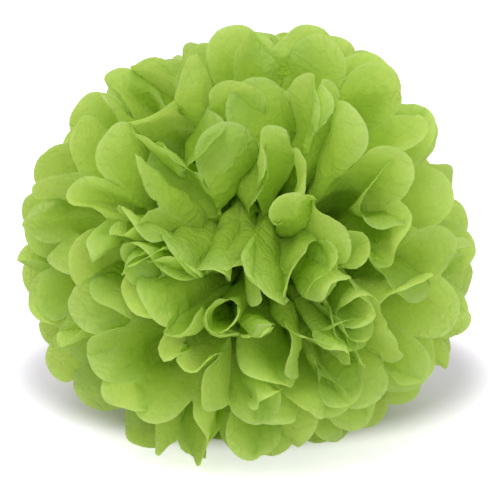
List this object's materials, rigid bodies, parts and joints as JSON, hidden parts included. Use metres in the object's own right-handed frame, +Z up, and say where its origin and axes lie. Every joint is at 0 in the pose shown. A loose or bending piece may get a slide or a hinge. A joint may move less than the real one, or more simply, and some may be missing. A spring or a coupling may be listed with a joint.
{
  "type": "tissue paper flower",
  "caption": "Round tissue paper flower: sheets pleated together, tied in the middle and opened into a ball that rests on its lowest petals.",
  "frame": {"origin": "on the floor under the middle of the ball's box", "axes": "+Z up, -Y towards the flower's front pole, which faces the camera and is tilted up 10 degrees, +X to the viewer's right"},
  "size_m": [0.2538, 0.2516, 0.2235],
  "materials": {
    "tissue": "matt, slightly translucent",
    "wire": "green lacquered"
  },
  "bodies": {
    "root": {"tissue_sheet_01": "tissue", "tissue_sheet_02": "tissue", "tissue_sheet_03": "tissue", "tissue_sheet_04": "tissue", "tissue_sheet_05": "tissue", "tissue_sheet_06": "tissue", "tissue_sheet_07": "tissue", "tissue_sheet_08": "tissue", "tissue_sheet_09": "tissue", "tissue_sheet_10": "tissue", "tissue_sheet_11": "tissue", "tissue_sheet_12": "tissue", "wire_tie": "wire"}
  },
  "joints": []
}
